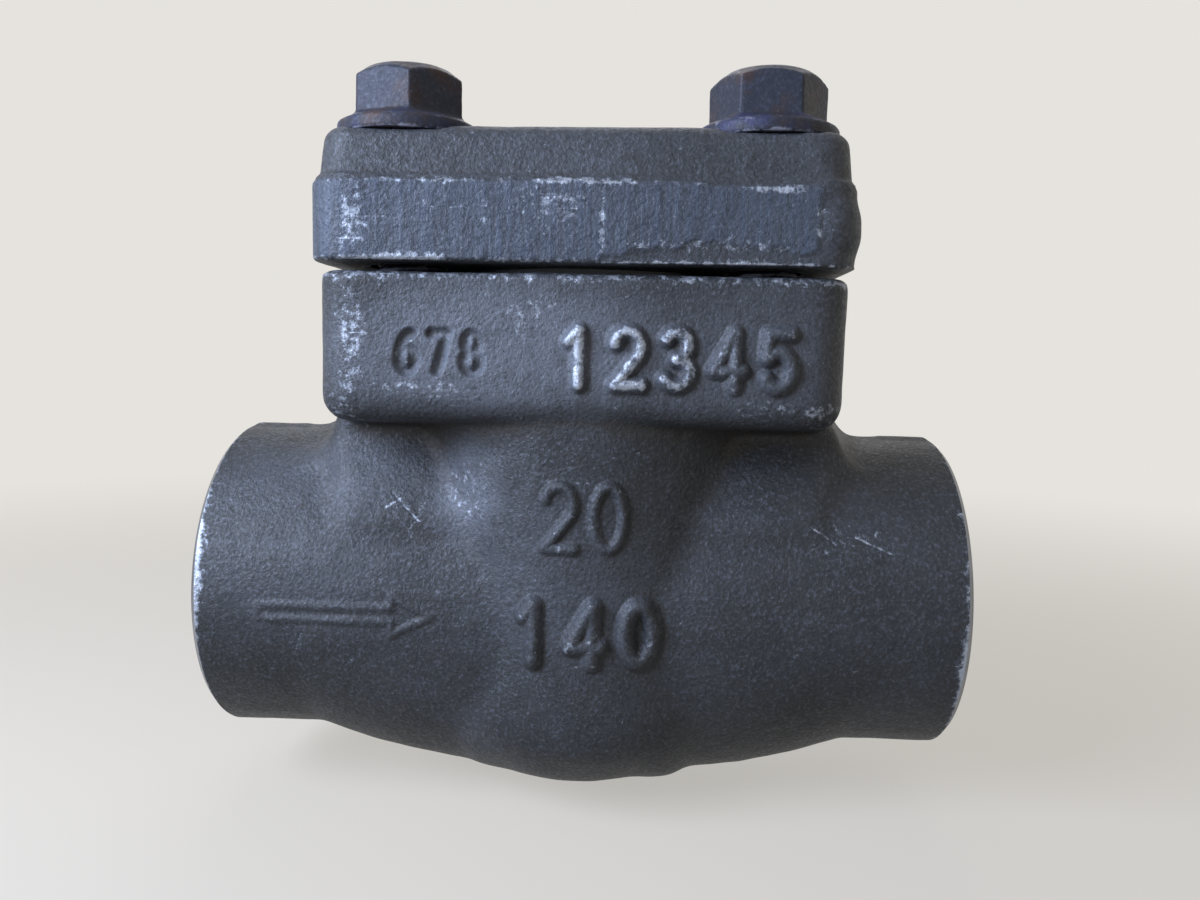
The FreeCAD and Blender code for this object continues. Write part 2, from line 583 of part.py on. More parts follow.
def all_pieces():
    pieces = {"body": make_body(),
              "seat_ring": make_seat_ring(),
              "hinge_bracket": make_hinge_bracket(),
              "hinge_pin": make_hinge_pin(),
              "hinge_pin_clip": make_pin_clip(),
              "swing_arm": make_swing_arm(),
              "valve_disc": make_valve_disc(),
              "disc_washer": make_disc_washer(),
              "disc_nut": make_disc_nut(),
              "split_pin": make_split_pin(),
              "cover_gasket": make_cover_gasket(),
              "cover": make_cover()}
    for number, place in enumerate(screw_places(), 1):
        pieces["bracket_screw_%d" % number] = make_bracket_screw(place)
    for number, (place, turn) in enumerate(zip(bolt_places(), BOLT_TURNS), 1):
        pieces["cover_bolt_%d" % number] = make_cover_bolt(place, turn)
    return pieces


os.makedirs("parts", exist_ok=True)
for name, piece in all_pieces().items():
    solid = piece.Solids[0] if len(piece.Solids) == 1 else piece
    solid.exportStep("parts/%s.step" % name)
    print(name, "solids", len(piece.Solids), "valid", piece.isValid(), "volume", round(piece.Volume, 2))
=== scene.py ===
import math

import bmesh
import bpy
import numpy as np
from mathutils import Euler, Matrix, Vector, noise
from mathutils.bvhtree import BVHTree


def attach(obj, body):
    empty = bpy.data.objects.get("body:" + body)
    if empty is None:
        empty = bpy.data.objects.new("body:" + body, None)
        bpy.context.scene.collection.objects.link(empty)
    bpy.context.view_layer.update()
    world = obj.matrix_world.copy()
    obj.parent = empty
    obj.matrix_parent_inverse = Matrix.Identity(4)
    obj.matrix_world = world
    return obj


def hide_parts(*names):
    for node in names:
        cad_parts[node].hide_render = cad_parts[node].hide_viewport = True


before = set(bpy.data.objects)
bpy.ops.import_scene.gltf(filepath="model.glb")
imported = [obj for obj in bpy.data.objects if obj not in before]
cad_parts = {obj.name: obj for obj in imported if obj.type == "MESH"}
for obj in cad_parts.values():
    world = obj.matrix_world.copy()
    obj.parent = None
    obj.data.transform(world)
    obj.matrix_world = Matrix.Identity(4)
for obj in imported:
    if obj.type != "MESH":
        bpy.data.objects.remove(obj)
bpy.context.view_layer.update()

# A forged steel swing check valve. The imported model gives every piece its
# size and place. This script gives the forgings their die-made skin, draft,
# raised numbers and wear, the bolts their threads, and every piece its
# finish. Lengths are millimetres here; place() and millimetres() turn them
# into metres.

# Sizes of the body's machined faces, which are cut into the forged skin
LENGTH = 92.0
MIDDLE = 46.0
END_R = 20.0
RIM_CHAMFER = 0.6
SOCKET_R = 13.6
SOCKET_DEPTH = 13.5
SOCKET_CHAMFER = 0.3
SEAT_BORE_R = 7.5
RING_BORE_R = 10.5
RING_BORE_START = 28.8
OUTLET_BORE_R = 11.0
CHAMBER_R = 13.5
CHAMBER_X = 49.0
CHAMBER_FLOOR = -15.0
CHAMBER_FLOOR_EDGE = 3.0
LEDGE_Z = 27.0
UPPER_CHAMBER_R = 16.5
GASKET_RECESS_R = 19.0
GASKET_RECESS_Z = 37.2
FLANGE_HALF_WIDTH = 23.5
JOINT_Z = 39.2
BOLT_SPACING_X = 41.6
BOLT_SPACING_Y = 31.0
TAPPED_R = 4.05
TAPPED_BOTTOM = 27.1
BOLT_HOLE_R = 4.5
SCREW_X = 35.2
SCREW_Y = 7.2
SCREW_R = 1.55
SCREW_BOTTOM = 20.4
# How far cutters reach past the body and fillings past the bores they close
OVERCUT = 20.0
RIM_OVERCUT = 3.0
MARGIN = 1.0
END_PLUG = 3.0
FILL_TOP = JOINT_Z + 0.3
TAPPED_FILL_R = TAPPED_R + 0.6
# The mill that faces the joint: its half length, half width and height
JOINT_MILL = (36.0, 30.0, 2.0)

# Sizes of the cover, and of the bolts with their domed heads
COVER_BOTTOM = 40.1
BAND_TOP = 49.1
COVER_TOP = 55.3
COLLAR_SEAT = 54.6
COLLAR_TOP = 56.9
HEAD_TOP = 62.8
HEAD_R = 7.5
DOME = 1.0
DOME_DEPTH = 3.5
DOME_POWER = 2.4
SPOT_R = 8.7
SPOT_DEPTH = 5.0
BOLT_TIP = 29.6
THREAD_PITCH = 1.25
THREAD_DEPTH = 0.6
THREAD_TOP = 46.0
THREAD_BOTTOM = BOLT_TIP + 0.3
THREAD_CORE_R = 2.5

# How fine the skins are, how sharp an edge stays crisp, and how far a face
# may lie from the forged skin before it counts as machined
BODY_VOXEL = 0.57
COVER_VOXEL = 0.36
BOLT_VOXEL = 0.24
CRISP_ANGLE = math.radians(35)
BOLT_CRISP_ANGLE = math.radians(60)
SKIN_TOLERANCE = 0.012
# The front, which carries the marks: where normals and points count as on it,
# and where the skin is split finer for the marks
FRONT_SLOPE = -0.3
FRONT_Y = -8.0
REFINE_Y = -10.0
# Where rubbed edges and dusty corners begin, as shares of the size they take,
# and how far a soft oval reaches, as a share of its half width
EDGE_START = 0.25
HOLLOW_START = 0.15
OVAL_REACH = 1.3
# What sets the noises of a forging's lumps apart
LUMP_SHIFT = 7.3


def millimetres(value):
    return value / 1000


def place(x, y, z):
    return Vector((x, y, z)) / 1000


def colour(code):
    """An sRGB hex value as the linear colour that the shader wants."""
    channels = []
    for start in (1, 3, 5):
        value = int(code[start:start + 2], 16) / 255
        if value <= 0.04045:
            channels.append(value / 12.92)
        else:
            channels.append(((value + 0.055) / 1.055) ** 2.4)
    return (*channels, 1.0)


def texture_scale(size):
    """The scale that gives a pattern features of this size in millimetres."""
    return 1000 / size


def set_inputs(tree, node, inputs):
    """Link the sockets among a node's inputs, and set the other values."""
    for name, value in inputs.items():
        if isinstance(value, bpy.types.NodeSocket):
            tree.links.new(value, node.inputs[name])
        else:
            node.inputs[name].default_value = value


def add_node(tree, kind, inputs=None, **settings):
    """One node with its settings, its values and its links."""
    node = tree.nodes.new(kind)
    for name, value in settings.items():
        setattr(node, name, value)
    set_inputs(tree, node, inputs or {})
    return node


def object_place(tree):
    return add_node(tree, "ShaderNodeTexCoord").outputs["Object"]


def layer_value(tree, layer):
    """What a mesh stores at each point, such as its wear."""
    return add_node(tree, "ShaderNodeAttribute", attribute_name=layer).outputs["Fac"]


def noise_pattern(tree, vector, size, detail, roughness=0.5):
    """Noise with features of one size in millimetres."""
    return add_node(tree, "ShaderNodeTexNoise", {"Vector": vector, "Scale": texture_scale(size),
                                                 "Detail": detail, "Roughness": roughness}).outputs[0]


def ring_pattern(tree, vector, size, axis, distortion=0.0, detail=2.0):
    """Rings round an axis, as a tool or a winding leaves them."""
    return add_node(tree, "ShaderNodeTexWave", {"Vector": vector, "Scale": texture_scale(size),
                                                "Distortion": distortion, "Detail": detail},
                    wave_type="RINGS", rings_direction=axis).outputs["Fac"]


def ramp(tree, value, start, end, least=0.0, most=1.0):
    """Goes from the least to the most while the value goes from start to end."""
    return add_node(tree, "ShaderNodeMapRange", {"Value": value, "From Min": start, "From Max": end,
                                                 "To Min": least, "To Max": most}).outputs[0]


def reckon(tree, operation, *values):
    return add_node(tree, "ShaderNodeMath", dict(enumerate(values)), operation=operation).outputs[0]


def coat(tree, share, under, code):
    """A share of a colour laid over the one under it."""
    return add_node(tree, "ShaderNodeMix", {0: share, 6: under, 7: colour(code)}, data_type="RGBA").outputs[2]


def relief(tree, height, strength, depth, **under):
    """Bump of a depth in millimetres, on its own or over another's Normal."""
    return add_node(tree, "ShaderNodeBump", {"Height": height, "Strength": strength,
                                             "Distance": millimetres(depth), **under}).outputs[0]


def new_material(name):
    material = bpy.data.materials.new(name)
    material.use_nodes = True
    tree = material.node_tree
    tree.nodes.clear()
    shader = add_node(tree, "ShaderNodeBsdfPrincipled")
    add_node(tree, "ShaderNodeOutputMaterial", {"Surface": shader.outputs[0]})
    return material, tree, shader


def new_piece(name, mesh):
    piece = bpy.data.objects.new(name, mesh)
    bpy.context.scene.collection.objects.link(piece)
    return piece


def piece_from(bm, name):
    mesh = bpy.data.meshes.new(name)
    bm.to_mesh(mesh)
    bm.free()
    return new_piece(name, mesh)


def merged_copy(node, name):
    """A closed copy of a node's mesh, for a piece that takes its place."""
    bm = bmesh.new()
    bm.from_mesh(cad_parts[node].data)
    bmesh.ops.remove_doubles(bm, verts=bm.verts, dist=millimetres(0.0005))
    return piece_from(bm, name)


def apply_modifier(piece, kind, **settings):
    """Run one modifier and keep what it makes as the piece's own mesh."""
    modifier = piece.modifiers.new(kind.lower(), kind)
    for name, value in settings.items():
        setattr(modifier, name, value)
    seen = piece.evaluated_get(bpy.context.evaluated_depsgraph_get())
    mesh = bpy.data.meshes.new_from_object(seen)
    piece.modifiers.clear()
    old = piece.data
    piece.data = mesh
    bpy.data.meshes.remove(old)


def lathe(outline, start, direction, steps=96):
    """A closed solid turned from an outline of (along, radius) points."""
    bm = bmesh.new()
    side = Vector((0, 0, 1)) if abs(direction.z) < 0.5 else Vector((1, 0, 0))
    points = [bm.verts.new((start + direction * along + side * radius) / 1000) for along, radius in outline]
    edges = [bm.edges.new((a, b)) for a, b in zip(points, points[1:])]
    bmesh.ops.spin(bm, geom=points + edges, cent=start / 1000, axis=direction,
                   angle=math.tau, steps=steps, use_merge=True)
    bmesh.ops.remove_doubles(bm, verts=bm.verts, dist=millimetres(0.001))
    bmesh.ops.recalc_face_normals(bm, faces=bm.faces)
    return bm


def drill(start, direction, radius, depth, steps=96):
    return lathe([(0, 0), (0, radius), (depth, radius), (depth, 0)], start, direction, steps)


def join_solid(piece, bm):
    """Put another closed solid into a piece before it is remeshed."""
    both = bmesh.new()
    both.from_mesh(piece.data)
    extra = bpy.data.meshes.new("extra")
    bm.to_mesh(extra)
    bm.free()
    both.from_mesh(extra)
    both.to_mesh(piece.data)
    both.free()
    bpy.data.meshes.remove(extra)


def cut(piece, bm):
    cutter = piece_from(bm, "cutter")
    apply_modifier(piece, "BOOLEAN", object=cutter, operation="DIFFERENCE", solver="MANIFOLD")
    mesh = cutter.data
    bpy.data.objects.remove(cutter)
    bpy.data.meshes.remove(mesh)


def ease(bm, verts, rounds):
    """Take the steps and the sharpness off some of a mesh."""
    for _ in range(rounds):
        bmesh.ops.smooth_vert(bm, verts=verts, factor=0.5, use_axis_x=True, use_axis_y=True, use_axis_z=True)


def remesh(piece, size, rounds):
    """Give a piece an even skin, with its sharp edges eased."""
    apply_modifier(piece, "REMESH", mode="VOXEL", voxel_size=millimetres(size))
    bm = bmesh.new()
    bm.from_mesh(piece.data)
    ease(bm, bm.verts, rounds)
    bm.to_mesh(piece.data)
    bm.free()


def points_of(mesh):
    points = np.empty(len(mesh.vertices) * 3)
    mesh.vertices.foreach_get("co", points)
    return points.reshape(-1, 3) * 1000


def normals_of(mesh):
    normals = np.empty(len(mesh.vertices) * 3)
    mesh.vertex_normals.foreach_get("vector", normals)
    return normals.reshape(-1, 3)


def set_points(mesh, points):
    mesh.vertices.foreach_set("co", (points / 1000).ravel())
    mesh.update()


def smooth_step(values):
    t = np.clip(values, 0, 1)
    return t * t * (3 - 2 * t)


def lumps(points, size, shift):
    """Gentle noise with features of one size, for each point."""
    spots = points / size + shift
    return np.array([noise.noise(spot) for spot in spots])


def uneven(points, heights):
    """Several noises together, each with its size, height and shift."""
    return sum(height * lumps(points, size, shift) for size, height, shift in heights)


def soft_edge(distance, width):
    """One on the near side of a line and none beyond, over a width."""
    return smooth_step(distance / width + 0.5)


def forge_skin(mesh, heights):
    """Move each point along its normal by lumps of (size, height)."""
    points = points_of(mesh)
    normals = normals_of(mesh)
    lift = np.zeros(len(points))
    for number, (size, height) in enumerate(heights):
        lift += height * lumps(points, size, LUMP_SHIFT * number)
    set_points(mesh, points + normals * lift[:, None])


def arc(x, y, wide, high, start, end, steps=18):
    """Points along part of an oval, its angles in degrees."""
    angles = np.radians(np.linspace(start, end, steps))
    return np.column_stack([x + wide * np.cos(angles), y + high * np.sin(angles)])


# Plain digits as strokes in a box one wide and one high
DIGITS = {
    "0": (arc(0.5, 0.5, 0.5, 0.5, 0, 360, 30),),
    "1": (((0.2, 0.8), (0.55, 1.0), (0.55, 0.0)),),
    "2": (arc(0.5, 0.7, 0.48, 0.3, 165, -35), ((0.89, 0.53), (0.04, 0.0), (1.0, 0.0))),
    "3": (arc(0.46, 0.75, 0.42, 0.25, 150, -90), arc(0.46, 0.25, 0.5, 0.25, 90, -150)),
    "4": (((0.74, 0.0), (0.74, 1.0), (0.0, 0.3), (1.0, 0.3)),),
    "5": (((0.92, 1.0), (0.14, 1.0), (0.08, 0.56)), arc(0.48, 0.33, 0.5, 0.33, 140, -150)),
    "6": (arc(0.5, 0.3, 0.5, 0.3, 0, 360, 26), arc(0.85, 0.3, 0.85, 0.7, 180, 95)),
    "7": (((0.0, 1.0), (1.0, 1.0), (0.35, 0.0)),),
    "8": (arc(0.5, 0.75, 0.4, 0.25, 0, 360, 24), arc(0.5, 0.25, 0.5, 0.25, 0, 360, 26)),
}


def number_row(text, low, high, gap, half, height, shines):
    """A row of digits whose strokes fill a box of (x, z) on the front."""
    wide = (high[0] - low[0] - 2 * half - gap * (len(text) - 1)) / len(text)
    size = np.array((wide, high[1] - low[1] - 2 * half))
    marks = []
    for number, (digit, shine) in enumerate(zip(text, shines)):
        corner = np.array((low[0] + half + number * (wide + gap), low[1] + half))
        strokes = [corner + np.array(stroke) * size for stroke in DIGITS[digit]]
        marks.append((strokes, half, height, shine))
    return marks


def line_marks(lines, half, height, shine):
    return [([np.array(line)], half, height, shine) for line in lines]


# Marks on the front, each with its strokes, half width, height and share of
# bare metal. The arrow shows the flow.
ARROW = (((8.2, 0.2), (24.2, 0.2), (24.2, 1.6), (28.9, -0.7), (24.2, -3.0), (24.2, -1.5), (8.2, -1.5),
          (8.2, 0.2)),)
SCRATCHES = (((23.4, 13.4), (27.0, 10.2)), ((22.6, 11.6), (24.4, 12.7)), ((73.0, 10.9), (76.2, 8.8)),
             ((78.5, 9.6), (82.6, 7.9)), ((13.4, -3.2), (12.6, -5.2)))
MARKS = (number_row("12345", (43.4, 26.1), (70.3, 33.8), 2.5, 0.9, 0.95, (0.3, 0.3, 0.23, 0.12, 0.06))
         + number_row("20", (41.6, 7.6), (52.0, 16.0), 2.2, 0.6, 0.65, (0.06, 0.05))
         + number_row("140", (38.2, -6.1), (56.2, 2.6), 2.9, 1.1, 1.1, (0.07, 0.06, 0.05))
         + number_row("678", (25.4, 27.6), (35.4, 32.8), 1.9, 0.5, -0.6, (0, 0, 0))
         + line_marks(ARROW, 0.4, 0.24, 0.03) + line_marks(SCRATCHES, 0.03, -0.06, 0.26))
# Room round a mark, the foot that it slopes down on, and how uneven it is
MARK_MARGIN = 0.7
MARK_FOOT = 0.25
MARK_UNEVEN = 0.35


def stroke_distance(flat, strokes):
    """How far each (x, z) point is from the nearest stroke."""
    nearest = np.full(len(flat), 1e9)
    for stroke in strokes:
        for start, end in zip(stroke, stroke[1:]):
            along = end - start
            share = np.clip(((flat - start) @ along) / (along @ along), 0, 1)
            nearest = np.minimum(nearest, np.linalg.norm(flat - start - share[:, None] * along, axis=1))
    return nearest


def mark_box(strokes, half):
    corners = np.concatenate(strokes)
    return corners.min(0) - half - MARK_MARGIN, corners.max(0) + half + MARK_MARGIN


def mark_profile(points, front):
    """For each point, how far it stands out on a mark, and its bare share."""
    lift = np.zeros(len(points))
    bare = np.zeros(len(points))
    for strokes, half, height, shine in MARKS:
        low, high = mark_box(strokes, half)
        flat = points[:, (0, 2)]
        near = np.where(front & (flat > low).all(1) & (flat < high).all(1))[0]
        distance = stroke_distance(flat[near], strokes)
        rise = np.sin(np.clip(1 - distance / (half + MARK_FOOT), 0, 1) * math.pi / 2)
        lift[near] += height * rise * (1 + MARK_UNEVEN * lumps(points[near], 3.0, 1.7))
        bare[near] = np.maximum(bare[near], shine * smooth_step(2 * rise - 0.9))
    return lift, bare


def refine_marks(mesh):
    """Split the skin finer where the marks stand."""
    bm = bmesh.new()
    bm.from_mesh(mesh)
    boxes = [mark_box(strokes, half) for strokes, half, *_ in MARKS]
    chosen = []
    for edge in bm.edges:
        middle = (edge.verts[0].co + edge.verts[1].co) * 500
        if middle.y > REFINE_Y or edge.verts[0].normal.y > FRONT_SLOPE:
            continue
        for low, high in boxes:
            if low[0] < middle.x < high[0] and low[1] < middle.z < high[1]:
                chosen.append(edge)
                break
    bmesh.ops.subdivide_edges(bm, edges=chosen, cuts=2, use_grid_fill=True, smooth=0.6)
    bm.to_mesh(mesh)
    bm.free()


def convexity(mesh, rounds=6):
    """Positive on edges and bumps, negative in corners, in millimetres."""
    points = points_of(mesh)
    edges = np.empty(len(mesh.edges) * 2, dtype=np.int64)
    mesh.edges.foreach_get("vertices", edges)
    first, second = edges.reshape(-1, 2).T
    count = np.bincount(first, minlength=len(points)) + np.bincount(second, minlength=len(points))
    moved = points.copy()
    for _ in range(rounds):
        total = np.zeros_like(moved)
        for axis in range(3):
            total[:, axis] = np.bincount(first, moved[second, axis], len(points))
            total[:, axis] += np.bincount(second, moved[first, axis], len(points))
        moved = total / np.maximum(count, 1)[:, None]
    return ((points - moved) * normals_of(mesh)).sum(1)


def front_of(mesh):
    """A mesh's points, and which of them face the front."""
    points = points_of(mesh)
    return points, (normals_of(mesh)[:, 1] < FRONT_SLOPE) & (points[:, 1] < FRONT_Y)


def spot_mask(points, spots):
    """Soft ovals on the front: x, z, half width, half height, strength."""
    mask = np.zeros(len(points))
    for x, z, half_x, half_z, strength in spots:
        reach = ((points[:, 0] - x) / half_x) ** 2 + ((points[:, 2] - z) / half_z) ** 2
        mask = np.maximum(mask, strength * smooth_step(OVAL_REACH - np.sqrt(reach)))
    return mask


def store(mesh, name, values):
    layer = mesh.attributes.new(name, "FLOAT", "POINT")
    layer.data.foreach_set("value", np.clip(values, 0, 1).astype(np.float32))


def store_relief(mesh, edge_size, hollow_size):
    """Mark the edges that get rubbed and the corners that hold dust and painted shade."""
    bulge = convexity(mesh)
    store(mesh, "edge", smooth_step(bulge / edge_size - EDGE_START))
    store(mesh, "hollow", smooth_step(-bulge / hollow_size - HOLLOW_START))


def mark_cut_faces(piece, skin, machined_slot):
    """Faces away from the skin that was there before the cuts are machined."""
    mesh = piece.data
    slots = []
    for face in mesh.polygons:
        distance = skin.find_nearest(face.center)[3]
        slots.append(machined_slot if distance > millimetres(SKIN_TOLERANCE) else 0)
    mesh.polygons.foreach_set("material_index", slots)


def sharpen(mesh):
    """Crisp edges round the machined faces, and none on the forged skin."""
    bm = bmesh.new()
    bm.from_mesh(mesh)
    for face in bm.faces:
        face.smooth = True
    for edge in bm.edges:
        machined = any(face.material_index for face in edge.link_faces)
        edge.smooth = not machined or edge.calc_face_angle(0) < CRISP_ANGLE
    bm.to_mesh(mesh)
    bm.free()


def skin_of(piece):
    """Split the skin into triangles, and keep its shape to tell the cuts by."""
    bm = bmesh.new()
    bm.from_mesh(piece.data)
    bmesh.ops.triangulate(bm, faces=bm.faces)
    bm.to_mesh(piece.data)
    tree = BVHTree.FromBMesh(bm)
    bm.free()
    return tree


ALONG_X = Vector((1, 0, 0))
ALONG_Z = Vector((0, 0, 1))


def bolt_places():
    places = []
    for y in (-BOLT_SPACING_Y / 2, BOLT_SPACING_Y / 2):
        for x in (MIDDLE - BOLT_SPACING_X / 2, MIDDLE + BOLT_SPACING_X / 2):
            places.append((x, y))
    return places


def end_trimmer(start, inwards):
    """Takes off what stands past the end face, and turns the rim's chamfer."""
    far = RIM_OVERCUT
    outline = [(-far, 0), (0, 0), (0, END_R - RIM_CHAMFER), (RIM_CHAMFER + far, END_R + far),
               (-far, END_R + far), (-far, 0)]
    return lathe(outline, start, inwards, 160)


def socket(start, inwards):
    """The bore that takes the pipe's end, with its chamfered mouth."""
    wide = SOCKET_R + SOCKET_CHAMFER
    outline = [(-MARGIN, 0), (-MARGIN, wide), (0, wide), (SOCKET_CHAMFER, SOCKET_R),
               (SOCKET_DEPTH, SOCKET_R), (SOCKET_DEPTH, 0)]
    return lathe(outline, start, inwards, 160)


def chamber():
    """The room in which the disc swings, with a chamfered floor."""
    top = JOINT_Z + MARGIN
    outline = [(CHAMBER_FLOOR, 0), (CHAMBER_FLOOR, CHAMBER_R - CHAMBER_FLOOR_EDGE),
               (CHAMBER_FLOOR + CHAMBER_FLOOR_EDGE, CHAMBER_R), (top, CHAMBER_R), (top, 0)]
    return lathe(outline, Vector((CHAMBER_X, 0, 0)), ALONG_Z)


def joint_face_cutter():
    """A block that mills the flange's top flat."""
    bm = bmesh.new()
    bmesh.ops.create_cube(bm, size=1)
    half_x, half_y, height = JOINT_MILL
    low = Vector((MIDDLE - half_x, -half_y, JOINT_Z))
    high = Vector((MIDDLE + half_x, half_y, JOINT_Z + height))
    bmesh.ops.scale(bm, verts=bm.verts, vec=(high - low) / 1000)
    bmesh.ops.translate(bm, verts=bm.verts, vec=(high + low) / 2000)
    return bm


def body_cuts():
    """Every machined cut of the body, in the order of the work."""
    inlet, outlet = Vector((0, 0, 0)), Vector((LENGTH, 0, 0))
    middle = Vector((MIDDLE, 0, 0))
    cuts = [end_trimmer(inlet, ALONG_X), end_trimmer(outlet, -ALONG_X), joint_face_cutter(),
            drill(middle + ALONG_Z * LEDGE_Z, ALONG_Z, UPPER_CHAMBER_R, OVERCUT),
            drill(middle + ALONG_Z * GASKET_RECESS_Z, ALONG_Z, GASKET_RECESS_R, OVERCUT / 2, 128),
            chamber(), socket(inlet, ALONG_X), socket(outlet, -ALONG_X),
            drill(inlet, ALONG_X, SEAT_BORE_R, MIDDLE),
            drill(ALONG_X * RING_BORE_START, ALONG_X, RING_BORE_R, MIDDLE - RING_BORE_START),
            drill(ALONG_X * MIDDLE, ALONG_X, OUTLET_BORE_R, MIDDLE)]
    for x, y in bolt_places():
        cuts.append(drill(Vector((x, y, TAPPED_BOTTOM)), ALONG_Z, TAPPED_R, OVERCUT, 48))
    screw_depth = LEDGE_Z - SCREW_BOTTOM + MARGIN
    for y in (-SCREW_Y, SCREW_Y):
        cuts.append(drill(Vector((SCREW_X, y, SCREW_BOTTOM)), ALONG_Z, SCREW_R, screw_depth, 32))
    return cuts


def body_fillings():
    """Solids that close every bore, so that only the outside gets the skin."""
    chamber_start = CHAMBER_FLOOR - END_PLUG
    chamber_depth = FILL_TOP - chamber_start
    tapped_start = TAPPED_BOTTOM - MARGIN
    fillings = [drill(ALONG_X * -MARGIN, ALONG_X, END_R, END_PLUG),
                drill(ALONG_X * (LENGTH + MARGIN - END_PLUG), ALONG_X, END_R, END_PLUG),
                drill(ALONG_X * MARGIN, ALONG_X, SOCKET_R + 2 * MARGIN, LENGTH - 2 * MARGIN),
                drill(Vector((MIDDLE, 0, chamber_start)), ALONG_Z, GASKET_RECESS_R + MARGIN, chamber_depth)]
    for x, y in bolt_places():
        start = Vector((x, y, tapped_start))
        fillings.append(drill(start, ALONG_Z, TAPPED_FILL_R, FILL_TOP - tapped_start))
    return fillings


# Worn spots, and spots painted paler as highlights, on the front: x, z, half width, half height, strength
BODY_WEAR = ((20.6, 31.0, 1.9, 7.2, 0.2), (40.5, 34.5, 3.6, 2.6, 0.15), (28.5, 26.2, 6.4, 1.2, 0.17),
             (67.0, 24.9, 6.5, 1.2, 0.13), (25.2, 11.0, 2.8, 3.2, 0.08), (77.8, 9.4, 6.5, 2.5, 0.08),
             (0.6, 3.5, 1.3, 9.0, 0.24), (91.6, -6.0, 1.3, 7.0, 0.22), (32.5, 14.0, 4.6, 5.2, 0.11),
             (70.6, 28.0, 1.0, 4.0, 0.1), (46.0, 36.6, 20.0, 0.6, 0.1))
BODY_PAINTED_HIGHLIGHTS = ((38.0, 31.0, 21.0, 8.5, 0.85), (32.5, 13.5, 5.0, 6.5, 0.65), (12.0, 3.0, 12.0, 8.0, 0.14),
             (46.0, 4.0, 13.0, 12.0, 0.2), (64.0, 30.0, 16.0, 9.0, 0.34), (14.0, 15.0, 14.0, 5.0, 0.25))
# Lumps of a forging: their size and their height
BODY_LUMPS = ((16.0, 0.16), (5.5, 0.07), (2.2, 0.035))


# Webs of metal from the flange's ends down to the pipes, as (x, z) outlines
# at the parting line, from which they slope away to both sides
WEBS = (((58.0, 8.0), (58.0, 25.5), (74.0, 25.6), (75.0, 31.0), (76.2, 29.0), (77.2, 26.6), (78.1, 24.4),
         (79.0, 22.6), (79.8, 21.5), (80.9, 20.5), (82.1, 19.9), (84.0, 19.5), (84.0, 8.0)),
        ((34.0, 8.0), (8.0, 8.0), (8.0, 19.6), (9.8, 20.3), (10.8, 20.6), (11.7, 21.0), (12.8, 21.9),
         (13.6, 23.4), (14.1, 25.2), (14.8, 27.4), (15.8, 30.0), (17.0, 31.0), (18.0, 25.5), (34.0, 25.5)))
# How far the outline drops and draws in at each distance from that line
WEB_SECTIONS = ((-18.0, 15.0, 3.5), (-12.0, 3.6, 1.2), (0.0, 0.0, 0.0), (12.0, 3.6, 1.2), (18.0, 15.0, 3.5))
WEB_TOP = 25.5
# The space in which the webs are rounded into the forging
WEB_EASE = ((8.0, 34.0), (58.0, 85.0))
WEB_EASE_Y = 19.5
WEB_EASE_Z = (7.0, 28.0)
WEB_EASE_ROUNDS = 14
# The dies' draft lifts the flange's foot and the belly's underside, more so
# the further a point stands in front of the parting line or behind it
NECK_FOOT = 18.9
FLANGE_FOOT = 20.5
FLANGE_DRAFT = 1.9
FLANGE_DRAFT_TOP = FLANGE_FOOT + 9.0
FLANGE_FADE = 5.0
BELLY_TOP = -14.0
BELLY_FADE = 8.0
BELLY_X = 45.0
BELLY_HALF = 14.0
BELLY_SIDE_FADE = 7.0
BELLY_DRAFT = 1.3
BELLY_DRAFT_Y = 9.0
# The pipes keep their round shape: how far from them the draft starts and is full
PIPE_CLEARANCE = 0.15
PIPE_FADE = 0.4


def web(profile):
    """A block with an (x, z) outline at the parting line, like a roof."""
    bm = bmesh.new()
    faces = []
    for y, drop, inwards in WEB_SECTIONS:
        corners = []
        for x, z in profile:
            top = z if drop == 0 else min(z, WEB_TOP)
            corners.append(bm.verts.new(place(x + math.copysign(inwards, MIDDLE - x), y, top - drop)))
        faces.append(bm.faces.new(corners))
    loops = [list(face.edges) for face in faces]
    for near, far in zip(loops, loops[1:]):
        bmesh.ops.bridge_loops(bm, edges=near + far)
    bmesh.ops.delete(bm, geom=faces[1:-1], context="FACES_ONLY")
    bmesh.ops.recalc_face_normals(bm, faces=bm.faces)
    return bm


def add_draft(mesh):
    """Lift the flange's foot and the belly towards the front and the back."""
    points = points_of(mesh)
    x, y, z = points.T
    off_pipe = smooth_step((np.hypot(y, z) - END_R - PIPE_CLEARANCE) / PIPE_FADE)
    foot = smooth_step((z - NECK_FOOT) / (FLANGE_FOOT - NECK_FOOT))
    foot = foot * smooth_step((FLANGE_DRAFT_TOP - z) / FLANGE_FADE)
    points[:, 2] += FLANGE_DRAFT * off_pipe * foot * np.abs(y) / FLANGE_HALF_WIDTH
    low = smooth_step((BELLY_TOP - z) / BELLY_FADE)
    low = low * smooth_step((BELLY_HALF - np.abs(x - BELLY_X)) / BELLY_SIDE_FADE)
    points[:, 2] += BELLY_DRAFT * off_pipe * low * smooth_step(np.abs(y) / BELLY_DRAFT_Y)
    set_points(mesh, points)


def ease_webs(piece):
    """Round the webs into the flange and the pipes."""
    bm = bmesh.new()
    bm.from_mesh(piece.data)
    low, high = WEB_EASE_Z
    chosen = []
    for vert in bm.verts:
        x, y, z = vert.co * 1000
        near_web = any(left < x < right for left, right in WEB_EASE)
        if near_web and abs(y) < WEB_EASE_Y and low < z < high:
            chosen.append(vert)
    ease(bm, chosen, WEB_EASE_ROUNDS)
    bm.to_mesh(piece.data)
    bm.free()


